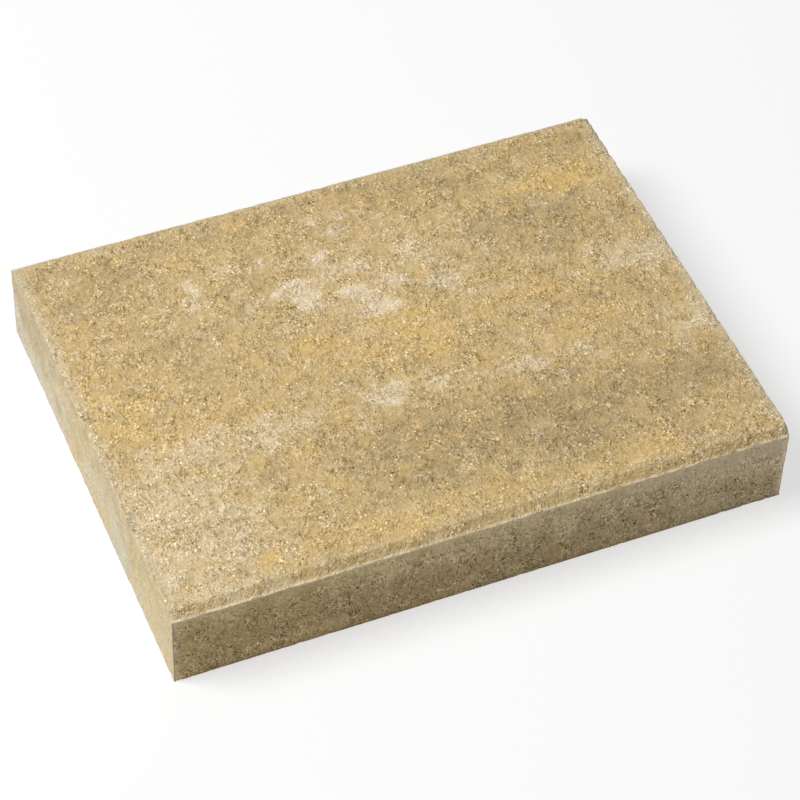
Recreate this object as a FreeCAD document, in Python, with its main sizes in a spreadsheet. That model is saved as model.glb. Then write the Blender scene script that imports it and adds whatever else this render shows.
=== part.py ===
"""Flat coping slab for a garden wall, pressed from concrete as one piece, in millimetres.

The end section is a rectangle whose two upper corners are chamfered. It runs the full length of the
slab, so the chamfers lie along the two long edges that overhang the wall's faces. The two ends are
left square, because the slabs of a row butt against each other there, and their arrises are only eased.

Origin at the middle of the bed face, +X along the wall, +Y across the wall, +Z up.
"""
import FreeCAD, Part
import enum
import os

import Sketcher

# Driving dimensions
SIZES = [
    ("slab_length", 330.0, "along the wall, from end to end"),
    ("slab_width", 250.0, "across the wall, from long edge to long edge"),
    ("slab_thickness", 50.0, "from the bed face to the top face"),
    ("chamfer_run", 5.0, "width of each chamfer, seen from above"),
    ("chamfer_drop", 4.0, "height of each chamfer, seen from the side"),
    ("arris_radius", 1.5, "easing of the arrises round each end face"),
]

# Largest distance between a measured place and a nominal one that still counts as the same
SAME_PLACE = 1e-4


class Axis(enum.IntEnum):
    """Numbers that a sketch gives to its own axes."""

    HORIZONTAL = -1
    VERTICAL = -2


class End(enum.IntEnum):
    """Numbers that a sketch gives to the two ends of a line."""

    FIRST = 1
    LAST = 2


def add_size_sheet(doc):
    """Put the driving dimensions in a spreadsheet, one aliased cell each."""
    sheet = doc.addObject("Spreadsheet::Sheet", "sizes")
    for row, (alias, value, meaning) in enumerate(SIZES, start=1):
        sheet.set(f"A{row}", alias)
        sheet.set(f"B{row}", str(value))
        sheet.set(f"C{row}", meaning)
        sheet.setAlias(f"B{row}", alias)
    doc.recompute()
    return sheet


def origin_plane(body, role):
    """Return the plane of the body's own origin that has the given role."""
    return next(plane for plane in body.Origin.OriginFeatures if plane.Role == role)


def add_end_section(body, sheet):
    """Sketch the slab's end section, symmetric about the wall's middle plane."""
    sketch = body.newObject("Sketcher::SketchObject", "end_section")
    sketch.AttachmentSupport = (origin_plane(body, "YZ_Plane"), [""])
    sketch.MapMode = "FlatFace"

    half_width = sheet.slab_width / 2
    top = sheet.slab_thickness
    shoulder = top - sheet.chamfer_drop
    half_top = half_width - sheet.chamfer_run
    corners = [
        FreeCAD.Vector(-half_width, 0, 0),
        FreeCAD.Vector(half_width, 0, 0),
        FreeCAD.Vector(half_width, shoulder, 0),
        FreeCAD.Vector(half_top, top, 0),
        FreeCAD.Vector(-half_top, top, 0),
        FreeCAD.Vector(-half_width, shoulder, 0),
    ]
    lines = [
        sketch.addGeometry(Part.LineSegment(corner, following), False)
        for corner, following in zip(corners, corners[1:] + corners[:1])
    ]
    bed, right_side, right_chamfer, top_face, left_chamfer, left_side = lines

    def constrain(*rule):
        return sketch.addConstraint(Sketcher.Constraint(*rule))

    for line, following in zip(lines, lines[1:] + lines[:1]):
        constrain("Coincident", line, End.LAST, following, End.FIRST)
    constrain("PointOnObject", bed, End.FIRST, Axis.HORIZONTAL)
    for line in (bed, top_face):
        constrain("Symmetric", line, End.FIRST, line, End.LAST, Axis.VERTICAL)
    for line in (right_side, left_side):
        constrain("Vertical", line)
    constrain("Horizontal", right_chamfer, End.FIRST, left_chamfer, End.LAST)

    dimensions = [
        ("slab_width", "DistanceX", (bed, End.FIRST), (bed, End.LAST)),
        ("slab_thickness", "DistanceY", (bed, End.LAST), (top_face, End.FIRST)),
        ("chamfer_run", "DistanceX", (right_chamfer, End.LAST), (right_chamfer, End.FIRST)),
        ("chamfer_drop", "DistanceY", (right_chamfer, End.FIRST), (right_chamfer, End.LAST)),
    ]
    for alias, direction, low, high in dimensions:
        number = constrain(direction, *low, *high, sheet.get(alias))
        sketch.setExpression(f"Constraints[{number}]", f"{sheet.Name}.{alias}")
    return sketch


def add_slab_run(body, sheet, section):
    """Run the section along the wall, half the length to each side of the origin."""
    run = body.newObject("PartDesign::Pad", "slab_run")
    run.Profile = section
    run.SideType = "Symmetric"
    run.setExpression("Length", f"{sheet.Name}.slab_length")
    return run


def end_arrises(shape):
    """Name the edges round both end faces, apart from those that lie in the bed."""
    box = shape.BoundBox
    names = []
    for number, edge in enumerate(shape.Edges, start=1):
        around = edge.BoundBox
        on_an_end = around.XLength < SAME_PLACE and (
            abs(around.XMin - box.XMin) < SAME_PLACE or abs(around.XMax - box.XMax) < SAME_PLACE
        )
        in_the_bed = around.ZMax - box.ZMin < SAME_PLACE
        if on_an_end and not in_the_bed:
            names.append(f"Edge{number}")
    return names


def add_eased_arrises(body, sheet, run):
    """Ease the sharp arrises where the top, the chamfers and the long sides meet the square ends."""
    easing = body.newObject("PartDesign::Fillet", "eased_arrises")
    easing.Base = (run, end_arrises(run.Shape))
    easing.setExpression("Radius", f"{sheet.Name}.arris_radius")
    return easing


def build_coping_stone(doc, sheet):
    """Build the one solid: the chamfered section, its run along the wall and its eased ends."""
    body = doc.addObject("PartDesign::Body", "coping_stone")
    body.Label = "coping_stone"
    section = add_end_section(body, sheet)
    run = add_slab_run(body, sheet, section)
    doc.recompute()
    body.Tip = add_eased_arrises(body, sheet, run)
    doc.recompute()
    return body


def check(doc, sub_parts):
    """Stop if any object failed to rebuild or any sub-part isn't one sound solid."""
    for item in doc.Objects:
        if "Invalid" in item.State or "Error" in item.State:
            raise RuntimeError(f"{item.Name} did not rebuild: {item.State}")
    for part in sub_parts:
        if part.Shape.isNull() or not part.Shape.isValid() or len(part.Shape.Solids) != 1:
            raise RuntimeError(f"{part.Label} is not one valid solid")


def main():
    doc = FreeCAD.newDocument("wall_coping_stone")
    sheet = add_size_sheet(doc)
    sub_parts = [build_coping_stone(doc, sheet)]
    check(doc, sub_parts)
    os.makedirs("parts", exist_ok=True)
    for part in sub_parts:
        part.Shape.exportStep(f"parts/{part.Label}.step")
        box = part.Shape.BoundBox
        sides = f"{box.XLength:.2f} x {box.YLength:.2f} x {box.ZLength:.2f} mm"
        print(f"{part.Label}: {sides}, {part.Shape.Volume:.0f} cubic mm")


main()
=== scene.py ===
"""Blender add-on that dresses a flat wall coping stone, pressed from concrete in shaded sandstone colours.

The stone is one closed mesh on the section of the CAD solid. Its arrises are worn, a thin lip stands out
along the long ones, and its faces keep the sandy relief of the press. Its material is laid in clouds of
sand, ochre, olive, cream and pale bloom, as the coloured mixes fell into the mould. The frame is that of
the CAD part: +X along the wall, +Y across it, +Z up. Lengths are in metres, in the material in millimetres.
"""

import math
from typing import NamedTuple

import bpy
import numpy as np
from bpy.props import FloatProperty, FloatVectorProperty, PointerProperty
from bpy.types import NodeSocket, Operator, Panel, PropertyGroup
from mathutils import Matrix, Vector, noise


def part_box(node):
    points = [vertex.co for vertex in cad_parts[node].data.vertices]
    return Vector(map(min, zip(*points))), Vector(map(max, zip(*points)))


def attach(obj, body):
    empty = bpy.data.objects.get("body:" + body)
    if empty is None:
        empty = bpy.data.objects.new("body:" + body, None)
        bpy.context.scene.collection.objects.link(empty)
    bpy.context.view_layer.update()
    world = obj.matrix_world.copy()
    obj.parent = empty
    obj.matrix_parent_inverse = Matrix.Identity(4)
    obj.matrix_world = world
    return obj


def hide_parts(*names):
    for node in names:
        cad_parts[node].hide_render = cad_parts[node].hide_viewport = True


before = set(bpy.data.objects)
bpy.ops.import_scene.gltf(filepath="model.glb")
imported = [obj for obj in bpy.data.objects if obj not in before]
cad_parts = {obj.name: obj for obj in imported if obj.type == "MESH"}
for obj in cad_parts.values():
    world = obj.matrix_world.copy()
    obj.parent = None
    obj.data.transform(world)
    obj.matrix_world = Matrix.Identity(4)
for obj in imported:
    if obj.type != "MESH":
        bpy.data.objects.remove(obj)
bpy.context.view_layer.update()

bl_info = {
    "name": "Wall coping stone",
    "version": (1, 0, 0),
    "blender": (4, 5, 0),
    "location": "3D View > Sidebar > Coping stone",
    "description": "Casts a coping slab of shaded concrete on its CAD frame and sets a stage round it",
    "category": "Add Mesh",
}

MM = 0.001
NODE = "coping_stone"
SLOT = "pressed_concrete"


class Section(NamedTuple):
    """The slab's half length and its end section, as the CAD solid has them."""

    half_length: float
    half_width: float
    height: float
    half_top: float
    shoulder: float


def read_section():
    """Measure the CAD solid: its box, the width of its top face and the height of its long sides."""
    touching = 0.01 * MM
    low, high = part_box(NODE)
    places = [vertex.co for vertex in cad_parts[NODE].data.vertices]
    half_top = max(abs(place.y) for place in places if place.z > high.z - touching)
    shoulder = max(place.z for place in places if abs(place.y) > high.y - touching)
    return Section(high.x, high.y, high.z, half_top, shoulder)


SECTION = read_section()


# Sizes and colours that a user would change

def length(name, description, default):
    """A length in metres, shown in the scene's own unit."""
    return FloatProperty(
        name=name, description=description, default=default, min=0, unit="LENGTH", precision=5
    )


def colour(name, description, default):
    """A linear colour."""
    return FloatVectorProperty(
        name=name, description=description, default=default, size=3, min=0, max=1, subtype="COLOR"
    )


def angle(name, description, degrees):
    """An angle, given in degrees."""
    return FloatProperty(
        name=name, description=description, default=math.radians(degrees), subtype="ANGLE", unit="ROTATION"
    )


def share(name, description, default):
    """A share from 0 to 1."""
    return FloatProperty(
        name=name, description=description, default=default, min=0, max=1, subtype="FACTOR"
    )


class CopingSlabShape(PropertyGroup):
    """How finely the slab is cast, and how far the press and handling have worn it."""

    pitch: length("Mesh pitch", "Distance between the mesh lines on the faces", 1.45 * MM)
    end_easing: length("End easing", "Width of the eased arrises between the top and the ends", 0.4 * MM)
    upright_easing: length("Upright easing", "Width of the eased upright arrises at the corners", 1.5 * MM)
    long_easing: length("Long easing", "Width of the eased arrises along the slab", 0.25 * MM)
    lip: length("Lip", "How far the thin lip along the long arrises stands out from the sides", 0.5 * MM)
    chip: length("Chips", "Extra width of an arris where it is chipped", 1.3 * MM)
    end_chip: length("End chips", "Extra width of the ragged arrises at the two ends", 2.0 * MM)
    swell: length("Swell", "Depth of the broad unevenness of every face", 0.14 * MM)
    sand_relief: length("Sand relief", "Depth of the sandy relief of the top and the long sides", 0.18 * MM)
    pit_depth: length("Pit depth", "Depth of the open pits in the top and the long sides", 0.4 * MM)


class CopingConcreteFinish(PropertyGroup):
    """Colours of the mixes and of the skin that the mould leaves on them."""

    sand: colour("Sand", "Main colour of the facing mix", (0.585, 0.425, 0.196))
    ochre: colour("Ochre", "Yellow clouds in the facing mix", (0.665, 0.46, 0.176))
    olive: colour("Olive", "Dull brown clouds in the facing mix", (0.44, 0.322, 0.156))
    cream: colour("Cream", "Pale clouds in the facing mix", (0.675, 0.53, 0.32))
    # On the top this is lime bloom; along the upright arrises the same colour is painted reflected light.
    bloom: colour("Bloom", "Whitish lime on the top and along the upright arrises", (0.84, 0.70, 0.50))
    grain_tint: colour("Grain tint", "Colour that pale grains add and dark ones lack", (0.5, 0.415, 0.29))
    side_skin: colour("Side skin", "Grey skin under the long arrises", (0.615, 0.499, 0.299))
    side_body: colour("Side body", "Brown body of the long sides", (0.449, 0.343, 0.181))
    # Partly painted light: the foot colour is rust made paler, standing in for light against the shade by
    # the floor.
    side_rust_and_painted_light: colour("Side rust", "Rusty foot of the long sides", (0.687, 0.523, 0.303))
    side_tint: colour("Side tint", "Yellow tint of the long sides towards the left", (0.98, 0.95, 0.83))
    end_skin: colour("End skin", "Pale smooth skin of the two ends", (0.55, 0.447, 0.26))
    end_lime: colour("End lime", "Greyish lime on the two ends", (0.525, 0.475, 0.365))
    end_stain: colour("End stain", "Dull stains on the two ends", (0.435, 0.35, 0.208))
    margin: colour("Margin", "Pale margins of the top and patches on the long sides", (0.62, 0.51, 0.33))
    worn_arris: colour("Worn arris", "Bare pale concrete along the arrises of the bed", (0.84, 0.72, 0.48))
    # Partly painted highlight: the lip is painted near white, both for pale worn fines and for the light
    # that the arris catches.
    lip: colour("Lip", "Bright fines along the lip of the long arrises", (0.95, 0.82, 0.56))
    grain_size: length("Grain size", "Size of the sand grains", 1.25 * MM)
    grain_contrast: share("Grain contrast", "How far single grains differ in tone", 0.42)
    bump_depth: length("Bump depth", "Depth of the relief that is finer than the mesh", 0.3 * MM)
    roughness: share("Roughness", "How dull the concrete is", 0.92)
    specular: share("Specular", "How much light the surface of the concrete reflects", 0.25)


class CopingStudioStage(PropertyGroup):
    """Floor, light and camera."""

    floor: colour("Floor", "Colour of the floor", (0.92, 0.92, 0.92))
    glow: share("Floor glow", "Share of plain white in the floor that the camera sees", 0.65)
    key_power: FloatProperty(
        name="Key light", description="Power of the large lamp", default=93, min=0, unit="POWER"
    )
    fill: FloatProperty(name="Fill", description="Strength of the light from all round", default=0.2, min=0)
    azimuth: angle("Azimuth", "Turn of the camera round the stone, where 0 looks along +Y", -24.044)
    elevation: angle("Elevation", "Height of the camera over the horizon", 48.324)
    roll: angle("Roll", "Turn of the camera round its own axis", 2.444)
    distance: length("Distance", "From the middle of the bed face to the camera", 1.6167)
    aim: FloatVectorProperty(
        name="Aim", description="Place that the camera looks at", default=(-1.7 * MM, -15.2 * MM, 25.3 * MM),
        subtype="TRANSLATION", unit="LENGTH",
    )
    lens: FloatProperty(name="Lens", description="Focal length", default=138.7, min=1, unit="CAMERA")


# The slab's mesh

# Distances of the mesh lines beside an arris, and of those on and beside a chamfer as shares of its run
ARRIS_LINES = [0.0, 0.2 * MM, 0.5 * MM, 0.9 * MM, 1.4 * MM, 2.1 * MM]
CHAMFER_SHARES = [0.6, 0.82, 0.92, 1.0, 1.12, 1.28, 1.5]

# Mesh lines that one cell of the bed spans, and rounds that bring a point onto the eased slab
BED_STEP = 4
EASING_STEPS = 4


def spaced(low, high, rim_lines, pitch):
    """Mesh lines from low to high: the given ones inside each rim, and even ones between them."""
    rim = np.array(rim_lines)
    start = low + rim[-1]
    stop = high - rim[-1]
    even = np.linspace(start, stop, round((stop - start) / pitch) + 1)
    return np.concatenate([low + rim[:-1], even, high - rim[-2::-1]])


def grid_lines(pitch):
    """Mesh lines along the three axes, closer together at the arrises and on the chamfers."""
    run = SECTION.half_width - SECTION.half_top
    chamfer_lines = ARRIS_LINES + [part * run for part in CHAMFER_SHARES]
    along = spaced(-SECTION.half_length, SECTION.half_length, ARRIS_LINES, pitch)
    across = spaced(-SECTION.half_width, SECTION.half_width, chamfer_lines, pitch)
    up = spaced(0, SECTION.height, ARRIS_LINES, pitch)
    return along, across, up


def kept_on_bed(count):
    """Numbers of the lines that the bed keeps: its rim, the first even line and every few after it."""
    rim = len(ARRIS_LINES) - 1
    return [0, *range(rim, count - rim - BED_STEP, BED_STEP), count - 1 - rim, count - 1]


def number_surface(counts, bed_columns, bed_rows):
    """Number the grid points of the slab's surface. The bed is hidden in use, so it gets fewer of them."""
    wanted = np.zeros(counts, bool)
    wanted[[0, -1], :, :] = True
    wanted[:, [0, -1], :] = True
    wanted[:, :, -1] = True
    wanted[np.ix_(bed_columns, bed_rows, [0])] = True
    numbers = np.full(counts, -1)
    numbers[wanted] = np.arange(wanted.sum())
    return numbers, np.argwhere(wanted)


def sharp_points(steps, lines):
    """Places of the numbered grid points on the sharp section, chamfers included."""
    points = np.stack([line[steps[:, axis]] for axis, line in enumerate(lines)], axis=1)
    slope = (SECTION.height - SECTION.shoulder) / (SECTION.half_width - SECTION.half_top)
    top = SECTION.height - slope * np.clip(np.abs(points[:, 1]) - SECTION.half_top, 0, None)
    points[:, 2] *= top / SECTION.height
    return points


def sheet_quads(sheet):
    """Quads between the neighbouring points of one sheet of numbers."""
    corners = [sheet[:-1, :-1], sheet[1:, :-1], sheet[1:, 1:], sheet[:-1, 1:]]
    return np.stack(corners, axis=-1).reshape(-1, 4)


def fine_quads(numbers):
    """Quads of the five faces with the full grid, each face as one array, wound to face outwards."""
    sheets = {
        "top": numbers[:, :, -1],
        "front": numbers[:, 0, :],
        "back": numbers[::-1, -1, :],
        "left": numbers[0, ::-1, :],
        "right": numbers[-1, :, :],
    }
    return {name: sheet_quads(sheet) for name, sheet in sheets.items()}


def walk(start, stop, on_rim):
    """Steps from start up to stop: each one along the rim, only the first one elsewhere."""
    step = 1 if stop > start else -1
    return range(start, stop, step) if on_rim else [start]


def bed_cells(numbers, columns, rows):
    """Large cells of the bed, facing down, whose outer sides take in every point of the rim."""
    last_column = columns[-1]
    last_row = rows[-1]
    cells = []
    for left, right in zip(columns, columns[1:]):
        for near, far in zip(rows, rows[1:]):
            ring = [(step, near) for step in walk(left, right, near == 0)]
            ring += [(right, step) for step in walk(near, far, right == last_column)]
            ring += [(step, far) for step in walk(right, left, far == last_row)]
            ring += [(left, step) for step in walk(far, near, left == 0)]
            cells.append([int(numbers[column, row, 0]) for column, row in reversed(ring)])
    return cells


# Wear and relief of the mesh

class Wave(NamedTuple):
    """One noise on the mesh: the size of its waves, a shift that sets it apart from the others, and the two
    values between which it takes hold, where only its crests count.
    """

    size: float
    shift: float = 0.0
    low: float = -1.0
    high: float = 1.0


BROAD_WEAR = Wave(13 * MM)
FINE_WEAR = Wave(4.5 * MM, 7.3)
CHIPS = Wave(7 * MM, 21.7, 0.38, 0.75)
END_CHIPS = Wave(4 * MM, 41.9, -0.1, 0.6)
BROAD_SWELL = Wave(38 * MM)
COARSE_SAND = Wave(5.5 * MM, 3.1)
FINE_SAND = Wave(2.7 * MM, 9.4)
PITS = Wave(3.3 * MM, 15.8, 0.2, 0.7)
LIP_BREAKS = Wave(9 * MM, 31.2, -0.9, 0.2)
BROAD_MARGIN = Wave(7 * MM, 52.6)
FINE_MARGIN = Wave(3 * MM, 63.1)

# How far each wave of wear changes the width of an easing, and the width of the break above a chamfer as a
# share of the long easing
WEAR_SPREAD = 0.35
CHAMFER_BREAK = 0.5

# How far the swell, and the coarse and fine sand together, reach to each side of the eased slab, as shares
# of their depth
SWELL_SHARE = 0.5
COARSE_SHARE = 0.3
FINE_SHARE = 0.2

# Depths under the shoulder between which the smooth skin of the long sides ends, how full it is beside that
# of the ends, and the share of the relief that a full skin takes away
SKIN_DEPTHS = (12 * MM, 5 * MM)
SIDE_SKIN_SHARE = 0.8
SKIN_SMOOTHING = 0.8

# Distances in from the long sides and below the shoulder over which the lip fades
LIP_INSETS = (0.5 * MM, 1.2 * MM)
LIP_DROPS = (0.2 * MM, 0.7 * MM)

# Distances in from its edge at which a margin starts and at which it is full
END_MARGIN = (9 * MM, 1 * MM)
LONG_MARGIN = (5 * MM, 1 * MM)
# Painted light: a pale band on the long sides at the upright arrises stands in for light reflected onto the
# rounded corners.
PAINTED_LIGHT_MARGIN = (5 * MM, 0.5 * MM)

# How far the end margins are ragged, and how strong the weaker margins and the painted light at the
# left-hand upright arrises are
BROAD_RAG = 2.2 * MM
FINE_RAG = 1.6 * MM
LONG_MARGIN_SHARE = 0.35
LEFT_PAINTED_LIGHT_SHARE = 0.4

# Parts of a normal along a face's own direction, at which that face begins and at which it is whole
UPRIGHT_TURN = (0.65, 0.95)
LONG_SIDE_TURN = (0.7, 0.92)
TOP_TURN = (0.9, 0.98)
MARGIN_TURN = (0.3, 0.6)
END_TURN = (0.4, 0.8)
BED_TURN = (0.5, 0.9)
BED_ARRIS_TURN = (0.1, 0.4)


def ripple(points, wave):
    """Blender's own noise at each point, from -1 to 1, with the given wave."""
    return np.array([noise.noise(place) for place in (points / wave.size + wave.shift).tolist()])


def ramp(values, low, high):
    """Smooth step of the values from 0 at low to 1 at high."""
    part = np.clip((values - low) / (high - low), 0, 1)
    return part * part * (3 - 2 * part)


def crests(points, wave):
    """Where a wave takes hold, from 0 to 1."""
    return ramp(ripple(points, wave), wave.low, wave.high)


def join(surface, distance, normal, width):
    """Join a plane to the surface so far with a smooth maximum, eased over the given width."""
    value, slope, arris = surface
    part = np.clip(0.5 + 0.5 * (value - distance) / width, 0, 1)
    bulge = part * (1 - part)
    value = distance + (value - distance) * part + width * bulge
    slope = normal + (slope - normal) * part[:, None]
    return value, slope, np.maximum(arris * part, 4 * bulge)


def eased_distance(points, long_width, end_width, upright_width):
    """Signed distance from the eased slab, its slope, and how close each point is to a bare arris."""
    x, y, z = points.T
    run = SECTION.half_width - SECTION.half_top
    drop = SECTION.height - SECTION.shoulder
    slant = math.hypot(run, drop)
    side = np.where(y < 0, -1.0, 1.0)
    end = np.where(x < 0, -1.0, 1.0)
    nothing = np.zeros_like(x)
    ones = np.ones_like(x)

    across = np.abs(y) - SECTION.half_width
    chamfer = (across * drop + (z - SECTION.shoulder) * run) / slant
    top_normal = np.stack([nothing, nothing, ones], axis=1)
    chamfer_normal = np.stack([nothing, side * drop / slant, ones * run / slant], axis=1)
    side_normal = np.stack([nothing, side, nothing], axis=1)
    end_normal = np.stack([end, nothing, nothing], axis=1)

    surface = (z - SECTION.height, top_normal, nothing)
    value, slope, _ = join(surface, chamfer, chamfer_normal, CHAMFER_BREAK * long_width)
    surface = join((value, slope, nothing), across, side_normal, long_width)
    surface = join(surface, -z, -top_normal, long_width)
    upright = ramp(np.abs(surface[1][:, 1]), *UPRIGHT_TURN)
    width = end_width + (upright_width - end_width) * upright
    return join(surface, np.abs(x) - SECTION.half_length, end_normal, width)


def ease_arrises(sharp, shape):
    """Move the sharp points onto the eased and chipped slab. Adds normals and nearness to an arris."""
    uneven = 1 + WEAR_SPREAD * ripple(sharp, BROAD_WEAR) + WEAR_SPREAD * ripple(sharp, FINE_WEAR)
    chips = shape.chip * crests(sharp, CHIPS)
    ragged = shape.end_chip * crests(sharp, END_CHIPS)
    long_width = shape.long_easing * uneven + chips
    end_width = shape.end_easing * uneven + np.maximum(chips, ragged)
    upright_width = shape.upright_easing * uneven + chips
    points = sharp.copy()
    for _ in range(EASING_STEPS):
        value, slope, arris = eased_distance(points, long_width, end_width, upright_width)
        points -= slope * (value / (slope ** 2).sum(axis=1))[:, None]
    normals = slope / np.linalg.norm(slope, axis=1)[:, None]
    return points, normals, arris


def near_edge(reach, edge, start, full):
    """0 further in from an edge than start, rising to 1 at the distance where it is full."""
    return ramp(reach, edge - start, edge - full)


def face_zones(sharp, normals, arris):
    """Weights, by point, of the faces and edges that the mould leaves with a finish of their own, and of
    painted light at the upright arrises.
    """
    inset = SECTION.half_width - np.abs(sharp[:, 1])
    below = SECTION.shoulder - sharp[:, 2]
    lip = (1 - ramp(inset, *LIP_INSETS)) * (1 - ramp(below, *LIP_DROPS))
    ragged = BROAD_RAG * ripple(sharp, BROAD_MARGIN) + FINE_RAG * ripple(sharp, FINE_MARGIN)
    end_margin = near_edge(np.abs(sharp[:, 0]) + ragged, SECTION.half_length, *END_MARGIN)
    long_margin = near_edge(np.abs(sharp[:, 1]), SECTION.half_top, *LONG_MARGIN)
    # Painted reflected light on the long sides next to the upright arrises, weaker at the left-hand end.
    painted_light_margin = near_edge(np.abs(sharp[:, 0]), SECTION.half_length, *PAINTED_LIGHT_MARGIN)
    painted_light_margin *= np.where(sharp[:, 0] < 0, LEFT_PAINTED_LIGHT_SHARE, 1)
    long_side = ramp(np.abs(normals[:, 1]), *LONG_SIDE_TURN)
    end_margin *= ramp(normals[:, 2], *MARGIN_TURN)
    long_margin *= LONG_MARGIN_SHARE * ramp(normals[:, 2], *TOP_TURN)
    return {
        "long_side": long_side,
        "end_face": ramp(np.abs(normals[:, 0]), *END_TURN),
        "bed_face": ramp(-normals[:, 2], *BED_TURN),
        "bed_arris": arris * ramp(-normals[:, 2], *BED_ARRIS_TURN),
        "lip": lip,
        "top_margin": np.maximum(end_margin, long_margin),
        "painted_light_margin": painted_light_margin * long_side,
    }


def relief_depth(points, zones, shape):
    """How far each point lies below the eased slab: broad swell, sandy relief and open pits."""
    swell = SWELL_SHARE * ripple(points, BROAD_SWELL)
    sand = COARSE_SHARE * ripple(points, COARSE_SAND) + FINE_SHARE * ripple(points, FINE_SAND)
    pits = crests(points, PITS)
    under_arris = near_edge(points[:, 2], SECTION.shoulder, *SKIN_DEPTHS)
    skin = np.clip(zones["end_face"] + SIDE_SKIN_SHARE * zones["long_side"] * under_arris, 0, 1)
    rough = 1 - SKIN_SMOOTHING * skin
    return shape.swell * swell + rough * (shape.sand_relief * sand + shape.pit_depth * pits)


def draw_lip(points, zones, shape):
    """Draw the long arrises out into a thin uneven lip."""
    reach = shape.lip * zones["lip"] * crests(points, LIP_BREAKS)
    points[:, 1] += np.sign(points[:, 1]) * reach


# Bake layout: one rectangle for each face on a square sheet, with the bed drawn small

SHEET_GAP = 4 * MM
BED_SCALE = 0.22


def layout_places(sharp):
    """Where each face's points go on the sheet, in metres, and the sheet's side."""
    x = sharp[:, 0] + SECTION.half_length
    y = sharp[:, 1] + SECTION.half_width
    z = sharp[:, 2]
    long_step = SECTION.height + SHEET_GAP
    second_column = 2 * SECTION.half_length + 2 * SHEET_GAP
    row = 2 * SECTION.half_width + 2 * SHEET_GAP
    places = {
        "top": (SHEET_GAP + x, SHEET_GAP + y),
        "front": (SHEET_GAP + x, row + z),
        "back": (SHEET_GAP + x, row + long_step + z),
        "right": (SHEET_GAP + y, row + 2 * long_step + z),
        "left": (second_column + z, SHEET_GAP + y),
        "bed": (second_column + BED_SCALE * x, row + BED_SCALE * y),
    }
    return places, row + 3 * long_step


def add_bake_map(mesh, sharp, quads, cells):
    """Give the mesh its bake layout, face by face in the order of its polygons."""
    places, sheet_side = layout_places(sharp)
    spots = [np.stack(places[name], axis=1)[corners.ravel()] for name, corners in quads.items()]
    bed_corners = [corner for cell in cells for corner in cell]
    spots.append(np.stack(places["bed"], axis=1)[bed_corners])
    layer = mesh.uv_layers.new(name="OFBake")
    layer.data.foreach_set("uv", (np.concatenate(spots) / sheet_side).ravel())


def cast_mesh(shape):
    """Cast the slab: a sharp grid, eased at the arrises, roughened by the press and drawn out at the lip."""
    lines = grid_lines(shape.pitch)
    counts = [len(line) for line in lines]
    columns = kept_on_bed(counts[0])
    rows = kept_on_bed(counts[1])
    numbers, steps = number_surface(counts, columns, rows)
    sharp = sharp_points(steps, lines)
    points, normals, arris = ease_arrises(sharp, shape)
    zones = face_zones(sharp, normals, arris)
    points -= normals * relief_depth(points, zones, shape)[:, None]
    draw_lip(points, zones, shape)
    points[:, 2] = np.clip(points[:, 2], 0, None)

    quads = fine_quads(numbers)
    cells = bed_cells(numbers, columns, rows)
    mesh = bpy.data.meshes.new("coping_stone_cast")
    polygons = [corners for sheet in quads.values() for corners in sheet.tolist()] + cells
    mesh.from_pydata(points.tolist(), [], polygons)
    add_bake_map(mesh, sharp, quads, cells)
    for name, weights in zones.items():
        mesh.attributes.new(name, "FLOAT", "POINT").data.foreach_set("value", weights)
    mesh.shade_smooth()
    mesh.validate()
    return mesh


# Clouds of the concrete, with places along and across the top, or along and up an upright face

class Cloud(NamedTuple):
    """A soft patch of another mix on one face, in millimetres."""

    x: float
    y: float
    half_x: float
    half_y: float
    amount: float


BLOOM_CLOUDS = [
    Cloud(-85, 74, 9, 7, 0.8),
    Cloud(-81, 60, 9, 6, 0.6),
    Cloud(-49, 80, 10, 5, 0.55),
    Cloud(-34, 57, 10, 6, 0.95),
    Cloud(-29, 46, 9, 8, 1.0),
    Cloud(-14, 70, 11, 6, 0.85),
    Cloud(0, 60, 8, 5, 0.8),
    Cloud(-3, 41, 9, 8, 1.0),
    Cloud(3, 27, 12, 8, 1.0),
    Cloud(20, 45, 11, 7, 0.95),
    Cloud(38, 60, 9, 5, 0.7),
    Cloud(46, 34, 11, 7, 1.0),
    Cloud(65, 69, 12, 6, 0.45),
    Cloud(2, 96, 22, 9, 0.45),
    Cloud(-81, -36, 9, 9, 0.7),
    Cloud(-12, -31, 11, 9, 1.0),
    Cloud(10, -30, 7, 5, 0.7),
    Cloud(61, -34, 13, 6, 0.55),
    Cloud(150, 11, 9, 5, 0.7),
    Cloud(157, -36, 8, 13, 0.5),
    Cloud(-157, -98, 9, 12, 0.6),
    Cloud(95, 29, 14, 5, 0.4),
]

OCHRE_CLOUDS = [
    Cloud(-150, 8, 25, 22, 0.7),
    Cloud(-120, -14, 40, 13, 0.5),
    Cloud(-5, 9, 48, 15, 0.75),
    Cloud(18, -2, 14, 12, 1.0),
    Cloud(72, 10, 34, 13, 0.5),
    Cloud(118, 10, 26, 9, 0.65),
    Cloud(100, -17, 40, 9, 0.45),
    Cloud(128, 84, 30, 12, 1.0),
    Cloud(-20, 108, 40, 8, 0.4),
    Cloud(-70, -110, 75, 8, 0.55),
    Cloud(60, -112, 80, 7, 0.5),
]

OLIVE_CLOUDS = [
    Cloud(50, -72, 120, 30, 0.9),
    Cloud(-20, -62, 65, 20, 0.6),
    Cloud(-140, 95, 45, 26, 0.65),
    Cloud(-115, 48, 45, 14, 0.3),
    Cloud(103, 54, 52, 20, 0.75),
    Cloud(60, 106, 60, 16, 0.5),
    Cloud(-60, 60, 24, 14, 0.6),
    Cloud(0, 110, 180, 11, 0.7),
]

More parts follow.
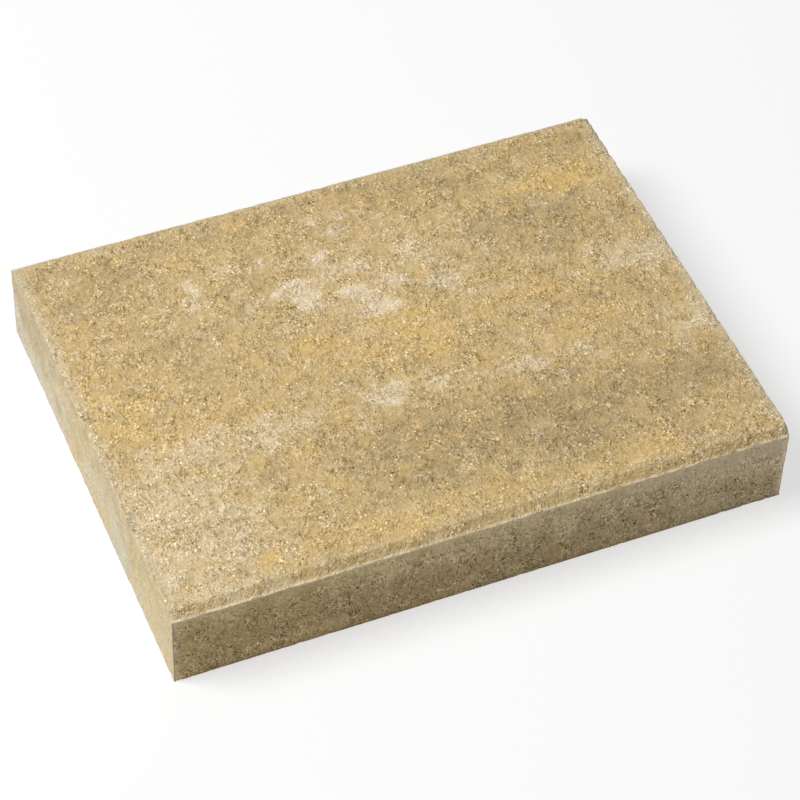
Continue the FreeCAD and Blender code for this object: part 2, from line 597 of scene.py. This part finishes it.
CREAM_CLOUDS = [
    Cloud(-140, -80, 40, 46, 0.95),
    Cloud(-108, -30, 60, 12, 0.7),
    Cloud(0, 50, 72, 34, 0.4),
    Cloud(60, -33, 50, 8, 0.45),
    Cloud(145, 18, 26, 14, 0.9),
    Cloud(150, -35, 18, 14, 0.45),
    Cloud(-125, -123, 48, 6, 0.7),
]

SIDE_STAINS = [
    Cloud(-105, 34, 26, 14, 0.9),
    Cloud(20, 20, 24, 16, 0.9),
    Cloud(62, 40, 25, 10, 0.6),
    Cloud(-152, 38, 20, 12, 0.5),
]

SIDE_LIME = [
    Cloud(152, 38, 20, 9, 0.9),
    Cloud(112, 42, 22, 6, 0.7),
    Cloud(132, 4, 44, 7, 0.45),
]

# Rust patches at the foot of the long sides, which also carry painted light against the shade by the floor
SIDE_RUST_AND_PAINTED_LIGHT = [
    Cloud(-104, 5, 26, 9, 1.0),
    Cloud(-20, 4, 22, 7, 0.4),
    Cloud(108, 4, 32, 8, 0.45),
    Cloud(152, 4, 16, 8, 0.4),
]

END_STAINS = [
    Cloud(100, 30, 42, 30, 1.0),
    Cloud(50, 20, 24, 14, 0.5),
]

END_LIME = [
    Cloud(-47, 12, 18, 18, 1.0),
    Cloud(72, 5, 32, 10, 0.7),
]


class Layer(NamedTuple):
    """One mix or skin of a face. It lies thicker where its clouds are, by their weight, and along its slope,
    per millimetre. Its edges are torn, with waves of the size tear and finer ones, and shift sets them apart
    from those of other layers. It begins to show at the thickness low and covers at high, and spread is how
    far one of each grain's lots decides whether that grain takes part.
    """

    clouds: list
    weight: float
    low: float
    high: float
    tear: float
    shift: tuple = (0, 0, 0)
    slope: tuple = (0, 0, 0)
    lot: int = 0
    spread: float = 0.0
    detail: float = 4
    roughness: float = 0.65


# Mixes of the facing, from the lowest up, each with the name of its colour
FACING = {
    "olive": Layer(
        OLIVE_CLOUDS, weight=0.28, low=0.46, high=0.84, tear=14, lot=0, spread=0.08,
    ),
    "ochre": Layer(
        OCHRE_CLOUDS, weight=0.26, low=0.48, high=0.80, tear=9, shift=(310, 70, 0), lot=1, spread=0.08,
    ),
    "cream": Layer(
        CREAM_CLOUDS, weight=0.28, low=0.50, high=0.84, tear=12, shift=(-190, 240, 0), lot=2, spread=0.08,
    ),
    "bloom": Layer(
        BLOOM_CLOUDS, weight=0.34, low=0.58, high=0.98, tear=7, shift=(120, -330, 0), lot=2, spread=0.18,
    ),
}

# Skin and foot of the long sides, and stains and lime of the ends
SKIN = Layer(
    SIDE_STAINS, weight=-0.11, low=0.58, high=0.94, tear=11,
    slope=(0.0006, 0.009, 0), lot=0, spread=0.12, roughness=0.7,
)
# Painted light: the foot grows thicker and paler towards the floor, against the shade there, over patches of
# real rust.
FOOT_RUST_AND_PAINTED_LIGHT = Layer(
    SIDE_RUST_AND_PAINTED_LIGHT, weight=0.2, low=0.22, high=0.66, tear=6, shift=(50, 90, 0),
    slope=(0, -0.018, 0), lot=1, spread=0.12, roughness=0.7,
)
STAIN = Layer(
    END_STAINS, weight=0.2, low=0.50, high=0.84, tear=15, shift=(70, 20, 0),
    slope=(0, 0.003, 0), detail=5, roughness=0.62,
)
LIME = Layer(
    END_LIME, weight=0.2, low=0.36, high=0.66, tear=19, shift=(-40, 160, 0),
    slope=(0.0006, -0.003, 0), detail=5, roughness=0.62,
)


# The concrete

class Mixer:
    """Short ways to add nodes to one node tree and to link them."""

    def __init__(self, tree):
        self.tree = tree

    def add(self, kind, inputs, **settings):
        """Add a node, with its settings and with each input linked to a socket or set to a value."""
        node = self.tree.nodes.new(kind)
        for name, value in settings.items():
            setattr(node, name, value)
        for key, value in inputs.items():
            if isinstance(value, NodeSocket):
                self.tree.links.new(value, node.inputs[key])
            else:
                node.inputs[key].default_value = value
        return node

    def math(self, operation, *values, clamp=False):
        """A sum on numbers."""
        node = self.add("ShaderNodeMath", dict(enumerate(values)), operation=operation, use_clamp=clamp)
        return node.outputs[0]

    def vector(self, operation, *values, output="Vector"):
        """A sum on vectors."""
        node = self.add("ShaderNodeVectorMath", dict(enumerate(values)), operation=operation)
        return node.outputs[output]

    def ramp(self, value, low, high, start=0.0, stop=1.0):
        """Smooth step of a value between low and high, from start to stop."""
        inputs = {"Value": value, "From Min": low, "From Max": high, "To Min": start, "To Max": stop}
        return self.add("ShaderNodeMapRange", inputs, interpolation_type="SMOOTHSTEP").outputs[0]

    def blend(self, amount, first, second, kind="MIX"):
        """A mix of two colours."""
        colours = [item if isinstance(item, NodeSocket) else (*item, 1) for item in (first, second)]
        inputs = {0: amount, 6: colours[0], 7: colours[1]}
        return self.add("ShaderNodeMix", inputs, data_type="RGBA", blend_type=kind).outputs[2]

    def noise(self, place, size, detail=2.0, roughness=0.5):
        """A noise texture with waves of the given size in millimetres."""
        inputs = {"Vector": place, "Scale": 1 / size, "Detail": detail, "Roughness": roughness}
        return self.add("ShaderNodeTexNoise", inputs)

    def cells(self, place, size):
        """A texture of cells of the given size in millimetres."""
        return self.add("ShaderNodeTexVoronoi", {"Vector": place, "Scale": 1 / size})

    def parts(self, place):
        """The three parts of a place."""
        return self.add("ShaderNodeSeparateXYZ", {0: place}).outputs

    def zone(self, name):
        """A weight that the mesh carries."""
        return self.add("ShaderNodeAttribute", {}, attribute_name=name).outputs["Fac"]


def clear_nodes(owner):
    """Turn on the nodes of a material or a world, clear them and return a mixer for them."""
    owner.use_nodes = True
    owner.node_tree.nodes.clear()
    return Mixer(owner.node_tree)


# A cloud is full inside the second of these shares of its half sizes, and ends at the first
CLOUD_EDGE = (1.5, 0.4)


def soft_cloud_group():
    """Node group that gives one soft patch, full in its middle and fading over its edge."""
    group = bpy.data.node_groups.new("Soft cloud", "ShaderNodeTree")
    for name in ("Place", "Middle", "Half size"):
        group.interface.new_socket(name, in_out="INPUT", socket_type="NodeSocketVector")
    group.interface.new_socket("Amount", in_out="INPUT", socket_type="NodeSocketFloat")
    group.interface.new_socket("Cover", in_out="OUTPUT", socket_type="NodeSocketFloat")
    mixer = Mixer(group)
    given = mixer.add("NodeGroupInput", {}).outputs
    offset = mixer.vector("SUBTRACT", given["Place"], given["Middle"])
    relative = mixer.vector("DIVIDE", offset, given["Half size"])
    reach = mixer.vector("LENGTH", relative, output="Value")
    cover = mixer.math("MULTIPLY", mixer.ramp(reach, *CLOUD_EDGE), given["Amount"])
    mixer.add("NodeGroupOutput", {"Cover": cover})
    return group


def cover_of(mixer, group, flat_place, clouds):
    """Joint cover of a list of clouds, where the strongest one shows."""
    cover = 0.0
    for cloud in clouds:
        inputs = {
            "Place": flat_place,
            "Middle": (cloud.x, cloud.y, 0),
            "Half size": (cloud.half_x, cloud.half_y, 1),
            "Amount": cloud.amount,
        }
        node = mixer.add("ShaderNodeGroup", inputs, node_tree=group)
        cover = mixer.math("MAXIMUM", cover, node.outputs[0])
    return cover


class Grains(NamedTuple):
    """The sand grains of the concrete, as sockets."""

    place: NodeSocket
    lots: tuple
    dome: NodeSocket
    crumb: NodeSocket
    openness: NodeSocket


# Size of the clusters in grains, the range of their noise, and how far grains stand open at its two ends
CLUSTER_SPAN = 7
CLUSTER_RANGE = (0.38, 0.64)
CLUSTER_OPENING = (0.4, 1.5)

# Distances from a grain's middle over which its dome and a crumb fall off, in grains
DOME_EDGE = (0.8, 0.4)
CRUMB_EDGE = (0.6, 0.25)

# Lots that make a grain a pale crumb, and those that make it a dark pit
PALE_LOTS = (0.84, 0.98)
PIT_LOTS = (0.18, 0.02)


def sow_grains(mixer, place, size, calm, crumb_share):
    """Divide the concrete into grains. Clusters of them stand open, and the rest lie in a calm skin of
    fines. A few are pale crumbs, and about as many have fallen out and left dark pits.
    """
    cells = mixer.cells(place, size)
    lots = mixer.add("ShaderNodeSeparateColor", {0: cells.outputs["Color"]}).outputs
    centred = tuple(mixer.math("SUBTRACT", lots[name], 0.5) for name in ("Red", "Green", "Blue"))
    clusters = mixer.noise(place, CLUSTER_SPAN * size, detail=4, roughness=0.75).outputs["Fac"]
    open_share = mixer.ramp(clusters, *CLUSTER_RANGE, *CLUSTER_OPENING)
    openness = mixer.math("MULTIPLY", open_share, mixer.math("SUBTRACT", 1.0, calm))
    dome = mixer.ramp(cells.outputs["Distance"], *DOME_EDGE)
    pale = mixer.math("MULTIPLY", mixer.ramp(lots["Green"], *PALE_LOTS), crumb_share)
    odd = mixer.math("SUBTRACT", pale, mixer.ramp(lots["Green"], *PIT_LOTS))
    crumb = mixer.math("MULTIPLY", mixer.ramp(cells.outputs["Distance"], *CRUMB_EDGE), odd)
    return Grains(cells.outputs["Position"], centred, dome, crumb, openness)


def laid_share(mixer, group, flat_place, tear_place, grains, layer):
    """Share of one layer, grain by grain: where it is laid thicker, more of the grains take part in it."""
    shifted = mixer.vector("ADD", tear_place, layer.shift)
    torn = mixer.noise(shifted, layer.tear, layer.detail, layer.roughness).outputs["Fac"]
    clouds = cover_of(mixer, group, flat_place, layer.clouds)
    thickness = mixer.math("MULTIPLY_ADD", clouds, layer.weight, torn)
    rise = mixer.vector("DOT_PRODUCT", flat_place, layer.slope, output="Value")
    thickness = mixer.math("ADD", thickness, rise)
    lot = mixer.math("MULTIPLY", grains.lots[layer.lot], layer.spread)
    thickness = mixer.math("MULTIPLY_ADD", lot, grains.openness, thickness)
    return mixer.ramp(thickness, layer.low, layer.high)


# Waves that shift the clouds of the facing, how far they do so, and how the facing's edges are drawn out
DRIFT_SIZE = 15
DRIFT_REACH = (30, 24, 0)
FACING_DRAW = (0.7, 1, 1)

# How the edges of the long sides' skin are drawn out, and where their yellow tint starts along the slab
SIDE_DRAW = (0.8, 1, 0.5)
SIDE_TINT_START = 120


def facing_colour(mixer, group, grains, finish):
    """Colour of the pressed top: clouds of olive, ochre, cream and bloom over sand, drawn out along the
    slab. Returns it with the share of bloom.
    """
    drift = mixer.noise(grains.place, DRIFT_SIZE, detail=3, roughness=0.6).outputs["Color"]
    middle = tuple(-reach / 2 for reach in DRIFT_REACH)
    shifted = mixer.vector("MULTIPLY_ADD", drift, DRIFT_REACH, middle)
    flat_place = mixer.vector("MULTIPLY_ADD", grains.place, (1, 1, 0), shifted)
    streaked = mixer.vector("MULTIPLY", grains.place, FACING_DRAW)
    tone = finish.sand
    shares = {}
    for name, layer in FACING.items():
        shares[name] = laid_share(mixer, group, flat_place, streaked, grains, layer)
        tone = mixer.blend(shares[name], tone, getattr(finish, name))
    return tone, shares["bloom"]


def long_side_colour(mixer, group, place, grains, finish):
    """Colour of the long sides: grey skin under the arris, stained brown body below it, and a rusty foot
    painted paler as painted light against the shade by the floor.
    """
    parts = mixer.parts(place)
    flat_place = mixer.add("ShaderNodeCombineXYZ", {0: parts["X"], 1: parts["Z"]}).outputs[0]
    drawn = mixer.vector("MULTIPLY", place, SIDE_DRAW)
    skin = laid_share(mixer, group, flat_place, drawn, grains, SKIN)
    foot = laid_share(mixer, group, flat_place, drawn, grains, FOOT_RUST_AND_PAINTED_LIGHT)
    tint = mixer.ramp(parts["X"], SIDE_TINT_START, -SECTION.half_length / MM)
    tone = mixer.blend(skin, finish.side_body, finish.side_skin)
    # Painted light: the foot is paler towards the floor as well as rusty.
    tone = mixer.blend(foot, tone, finish.side_rust_and_painted_light)
    tone = mixer.blend(tint, tone, finish.side_tint, kind="MULTIPLY")
    return mixer.blend(cover_of(mixer, group, flat_place, SIDE_LIME), tone, finish.margin)


def end_colour(mixer, group, place, grains, finish):
    """Colour of the two ends: a pale smooth skin, with dull stains towards the back and patches of lime."""
    parts = mixer.parts(place)
    flat_place = mixer.add("ShaderNodeCombineXYZ", {0: parts["Y"], 1: parts["Z"]}).outputs[0]
    stain = laid_share(mixer, group, flat_place, place, grains, STAIN)
    lime = laid_share(mixer, group, flat_place, place, grains, LIME)
    return mixer.blend(lime, mixer.blend(stain, finish.end_skin, finish.end_stain), finish.end_lime)


# How much of the top's margins covers the facing
MARGIN_COVER = 0.8


def base_colour(mixer, place, grains, zones, finish):
    """Colour of the concrete before its single grains, face by face. Returns it with the share of bloom."""
    group = soft_cloud_group()
    facing, bloom = facing_colour(mixer, group, grains, finish)
    base = mixer.blend(mixer.math("MULTIPLY", zones["top_margin"], MARGIN_COVER), facing, finish.margin)
    base = mixer.blend(zones["bed_face"], base, finish.side_body)
    base = mixer.blend(zones["long_side"], base, long_side_colour(mixer, group, place, grains, finish))
    # Painted reflected light on the long sides at the upright arrises, in the bloom colour.
    base = mixer.blend(zones["painted_light_margin"], base, finish.bloom)
    base = mixer.blend(zones["end_face"], base, end_colour(mixer, group, place, grains, finish))
    return base, bloom


# Depths under the shoulder between which the calm skin of the long sides ends, in millimetres
CALM_DEPTHS = (16, 4)

# How far the fines calm the grains on each face, and how far the bloom does
SIDE_CALM = 0.5
END_CALM = 0.5
MARGIN_CALM = 0.15
BLOOM_CALM = 0.35

# On the long sides the grains are narrower along the slab and stand out more, with fewer pale crumbs
GRAIN_SQUEEZE = (0.4, 0, 0)
GRAIN_STRENGTH = 2.2
EXTRA_SIDE_STRENGTH = 1.3
MISSING_SIDE_CRUMBS = 0.75

# Paleness beyond which the grains of a mix stand out no further
PALENESS_LIMIT = 0.5


def calm_share(mixer, place, zones):
    """How calm the fines lie: on the long sides under the arris, on the ends and on the top's margins."""
    shoulder = SECTION.shoulder / MM
    start, full = CALM_DEPTHS
    under_arris = mixer.ramp(mixer.parts(place)["Z"], shoulder - start, shoulder - full)
    calm = mixer.math("MULTIPLY", mixer.math("MULTIPLY", under_arris, zones["long_side"]), SIDE_CALM)
    calm = mixer.math("MAXIMUM", calm, mixer.math("MULTIPLY", zones["end_face"], END_CALM))
    return mixer.math("MAXIMUM", calm, mixer.math("MULTIPLY", zones["top_margin"], MARGIN_CALM))


def grain_strength(mixer, base, bloom, grains, zones, finish):
    """How far single grains stand out: more in pale mixes and on the long sides, and less in the bloom."""
    paleness = mixer.add("ShaderNodeRGBToBW", {0: base}).outputs[0]
    paleness = mixer.math("MINIMUM", paleness, PALENESS_LIMIT)
    by_face = mixer.math("MULTIPLY_ADD", zones["long_side"], EXTRA_SIDE_STRENGTH, GRAIN_STRENGTH)
    strength = mixer.math("MULTIPLY", paleness, by_face)
    strength = mixer.math("MULTIPLY", strength, finish.grain_contrast)
    strength = mixer.math("MULTIPLY", strength, mixer.math("MULTIPLY_ADD", bloom, -BLOOM_CALM, 1.0))
    return mixer.math("MULTIPLY", strength, grains.openness)


# Size of the fines and of the lumps of a few grains, in millimetres
FINES_SIZE = 0.9
LUMP_SIZE = 3.2

# Weights in a grain's tone, the shift that centres it, and the darkest tone
FLECK_WEIGHT = 1.7
FLECK_CRISPNESS = 80.0
LUMP_WEIGHT = 1.9
DOME_WEIGHT = 0.7
LOT_WEIGHT = 0.8
CRUMB_WEIGHT = 2.0
TONE_SHIFT = -1.07
DARKEST_TONE = -0.75


def grain_tone(mixer, place, grains, fine, strength):
    """How much paler or darker than its mix each grain is, with crisp flecks in the fines."""
    fleck = mixer.math("SUBTRACT", fine, 0.5)
    squared = mixer.math("MULTIPLY", fleck, fleck)
    crispness = mixer.math("MULTIPLY_ADD", squared, FLECK_CRISPNESS, FLECK_WEIGHT)
    lumps = mixer.noise(place, LUMP_SIZE, detail=1).outputs["Fac"]
    tone = mixer.math("MULTIPLY_ADD", fleck, crispness, TONE_SHIFT)
    tone = mixer.math("MULTIPLY_ADD", lumps, LUMP_WEIGHT, tone)
    tone = mixer.math("MULTIPLY_ADD", grains.dome, DOME_WEIGHT, tone)
    tone = mixer.math("MULTIPLY_ADD", grains.lots[0], LOT_WEIGHT, tone)
    tone = mixer.math("MULTIPLY_ADD", grains.crumb, CRUMB_WEIGHT, tone)
    return mixer.math("MAXIMUM", mixer.math("MULTIPLY", tone, strength), DARKEST_TONE)


# Size of the worn patches in millimetres, the range of their noise, and how bare they are at its two ends
WEAR_SIZE = 6
WEAR_RANGE = (0.35, 0.6)
WEAR_BARENESS = (0.35, 0.95)

# How much of the lip is bright everywhere, as pale fines and painted highlight, and how much more of it in
# worn patches
LIP_FINES_AND_HIGHLIGHT = 0.35
LIP_PATCH_FINES_AND_HIGHLIGHT = 0.7


def wear_arrises(mixer, place, grained, zones, finish):
    """Bare the pale concrete along the bed's arrises, and the bright fines and painted highlight along the
    lip, in patches.
    """
    torn = mixer.noise(place, WEAR_SIZE, detail=3, roughness=0.6).outputs["Fac"]
    patchy = mixer.ramp(torn, *WEAR_RANGE, *WEAR_BARENESS)
    wear = mixer.math("MULTIPLY", zones["bed_arris"], patchy)
    bright = mixer.math("MULTIPLY_ADD", patchy, LIP_PATCH_FINES_AND_HIGHLIGHT, LIP_FINES_AND_HIGHLIGHT)
    lip = mixer.math("MULTIPLY", zones["lip"], bright, clamp=True)
    # The lip colour is partly worn fines and partly a painted highlight on the arris.
    return mixer.blend(lip, mixer.blend(wear, grained, finish.worn_arris), finish.lip)


# Weights that the mesh carries, and heights of the fines and of a grain's dome in the bump
ZONE_NAMES = ("long_side", "end_face", "bed_face", "bed_arris", "lip", "top_margin", "painted_light_margin")
FINES_LIFT = 3.0
DOME_LIFT = 0.4


def mix_concrete(finish):
    """Mix the slab's material from its grains, its facing, its moulded faces and its worn arrises."""
    material = bpy.data.materials.new(SLOT)
    mixer = clear_nodes(material)
    position = mixer.add("ShaderNodeTexCoord", {}).outputs["Object"]
    place = mixer.vector("MULTIPLY", position, (1 / MM, 1 / MM, 1 / MM))
    zones = {name: mixer.zone(name) for name in ZONE_NAMES}

    squeeze = mixer.vector("MULTIPLY_ADD", zones["long_side"], GRAIN_SQUEEZE, (1, 1, 1))
    grain_place = mixer.vector("MULTIPLY", place, squeeze)
    calm = calm_share(mixer, place, zones)
    crumb_share = mixer.math("MULTIPLY_ADD", zones["long_side"], -MISSING_SIDE_CRUMBS, 1.0)
    grains = sow_grains(mixer, grain_place, finish.grain_size / MM, calm, crumb_share)

    base, bloom = base_colour(mixer, place, grains, zones, finish)
    fine = mixer.noise(grain_place, FINES_SIZE, detail=2, roughness=0.7).outputs["Fac"]
    strength = grain_strength(mixer, base, bloom, grains, zones, finish)
    tone = grain_tone(mixer, grain_place, grains, fine, strength)
    grained = mixer.vector("MULTIPLY_ADD", tone, tuple(finish.grain_tint), base)
    worn = wear_arrises(mixer, place, grained, zones, finish)

    lift = mixer.math("MULTIPLY_ADD", fine, FINES_LIFT, mixer.math("MULTIPLY", grains.dome, DOME_LIFT))
    relief = mixer.math("MULTIPLY", lift, grains.openness)
    bump = mixer.add("ShaderNodeBump", {"Strength": 1.0, "Distance": finish.bump_depth, "Height": relief})
    shader = mixer.add("ShaderNodeBsdfPrincipled", {
        "Base Color": worn,
        "Roughness": finish.roughness,
        "Specular IOR Level": finish.specular,
        "Normal": bump.outputs[0],
    })
    mixer.add("ShaderNodeOutputMaterial", {"Surface": shader.outputs[0]})
    return material


class COPING_OT_cast_stone(Operator):
    """Cast the coping stone as one worn slab of shaded concrete"""

    bl_idname = "coping.cast_stone"
    bl_label = "Cast the stone"
    bl_options = {"REGISTER", "UNDO"}

    def execute(self, context):
        mesh = cast_mesh(context.scene.coping_shape)
        mesh.materials.append(mix_concrete(context.scene.coping_finish))
        stone = bpy.data.objects.new("coping_stone_cast", mesh)
        context.scene.collection.objects.link(stone)
        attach(stone, "root")
        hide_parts(NODE)
        return {"FINISHED"}


# The stage

FLOOR_SIDE = 12.0
FLOOR_DROP = 0.05 * MM
KEY_PLACE = (-1.72, 0.47, 2.41)
KEY_SIDE = 1.3
WHITE = (1, 1, 1, 1)


def plain_rays(mixer):
    """1 for rays that look at the stage, from the camera or off a gloss, and 0 for those that light."""
    path = mixer.add("ShaderNodeLightPath", {}).outputs
    seen = mixer.math("MAXIMUM", path["Is Camera Ray"], path["Is Glossy Ray"])
    return mixer.math("MAXIMUM", seen, path["Is Transmission Ray"])


def lay_floor(context, stage):
    """Lay a wide pale floor that looks nearly white and keeps the stone's soft shadow."""
    half = FLOOR_SIDE / 2
    mesh = bpy.data.meshes.new("studio_floor")
    corners = [(-half, -half, 0), (half, -half, 0), (half, half, 0), (-half, half, 0)]
    mesh.from_pydata(corners, [], [(0, 1, 2, 3)])
    material = bpy.data.materials.new("studio_floor")
    mixer = clear_nodes(material)
    paint = mixer.add("ShaderNodeBsdfDiffuse", {"Color": (*stage.floor, 1)}).outputs[0]
    white = mixer.add("ShaderNodeEmission", {"Color": WHITE, "Strength": 1.0}).outputs[0]
    amount = mixer.math("MULTIPLY", plain_rays(mixer), stage.glow)
    seen = mixer.add("ShaderNodeMixShader", {0: amount, 1: paint, 2: white}).outputs[0]
    mixer.add("ShaderNodeOutputMaterial", {"Surface": seen})
    mesh.materials.append(material)
    floor = bpy.data.objects.new("studio_floor", mesh)
    floor.location.z = -FLOOR_DROP
    context.scene.collection.objects.link(floor)


def hang_lights(context, stage):
    """Hang one large lamp to the left, and light the rest softly from all round."""
    lamp = bpy.data.lights.new("key_light", "AREA")
    lamp.shape = "SQUARE"
    lamp.size = KEY_SIDE
    lamp.energy = stage.key_power
    key = bpy.data.objects.new("key_light", lamp)
    key.location = KEY_PLACE
    key.rotation_euler = (-Vector(KEY_PLACE)).to_track_quat("-Z", "Y").to_euler()
    context.scene.collection.objects.link(key)

    world = bpy.data.worlds.new("studio")
    mixer = clear_nodes(world)
    soft = mixer.add("ShaderNodeBackground", {"Color": WHITE, "Strength": stage.fill}).outputs[0]
    white = mixer.add("ShaderNodeBackground", {"Color": WHITE, "Strength": 1.0}).outputs[0]
    seen = mixer.add("ShaderNodeMixShader", {0: plain_rays(mixer), 1: soft, 2: white}).outputs[0]
    mixer.add("ShaderNodeOutputWorld", {"Surface": seen})
    context.scene.world = world


def set_camera(context, stage):
    """Stand the camera where the stone shows its top, its front and its left end."""
    level_reach = math.cos(stage.elevation)
    direction = Vector((
        math.sin(stage.azimuth) * level_reach,
        -math.cos(stage.azimuth) * level_reach,
        math.sin(stage.elevation),
    ))
    place = direction * stage.distance
    forward = (Vector(stage.aim) - place).normalized()
    right = forward.cross(Vector((0, 0, 1))).normalized()
    upright = Matrix((right, right.cross(forward), -forward)).transposed()
    rolled = upright @ Matrix.Rotation(stage.roll, 3, "Z")
    data = bpy.data.cameras.new("camera")
    data.lens = stage.lens
    camera = bpy.data.objects.new("camera", data)
    camera.matrix_world = Matrix.Translation(place) @ rolled.to_4x4()
    context.scene.collection.objects.link(camera)
    context.scene.camera = camera


class COPING_OT_set_stage(Operator):
    """Set the floor, the light and the camera round the stone"""

    bl_idname = "coping.set_stage"
    bl_label = "Set the stage"
    bl_options = {"REGISTER", "UNDO"}

    def execute(self, context):
        stage = context.scene.coping_stage
        lay_floor(context, stage)
        hang_lights(context, stage)
        set_camera(context, stage)
        context.scene.view_settings.view_transform = "Standard"
        return {"FINISHED"}


class COPING_PT_sidebar(Panel):
    """The stone's operators, with their sizes and colours"""

    bl_label = "Coping stone"
    bl_space_type = "VIEW_3D"
    bl_region_type = "UI"
    bl_category = "Coping stone"

    def draw(self, context):
        scene = context.scene
        steps = [
            (COPING_OT_cast_stone, [scene.coping_shape, scene.coping_finish]),
            (COPING_OT_set_stage, [scene.coping_stage]),
        ]
        for operator, groups in steps:
            box = self.layout.box()
            for group in groups:
                for name in group.__annotations__:
                    box.prop(group, name)
            box.operator(operator.bl_idname)


CLASSES = (
    CopingSlabShape,
    CopingConcreteFinish,
    CopingStudioStage,
    COPING_OT_cast_stone,
    COPING_OT_set_stage,
    COPING_PT_sidebar,
)


def register():
    for item in CLASSES:
        bpy.utils.register_class(item)
    bpy.types.Scene.coping_shape = PointerProperty(type=CopingSlabShape)
    bpy.types.Scene.coping_finish = PointerProperty(type=CopingConcreteFinish)
    bpy.types.Scene.coping_stage = PointerProperty(type=CopingStudioStage)


def unregister():
    del bpy.types.Scene.coping_stage
    del bpy.types.Scene.coping_finish
    del bpy.types.Scene.coping_shape
    for item in reversed(CLASSES):
        bpy.utils.unregister_class(item)


def main():
    """Register the add-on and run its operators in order."""
    register()
    bpy.ops.coping.cast_stone()
    bpy.ops.coping.set_stage()


if __name__ == "__main__":
    main()
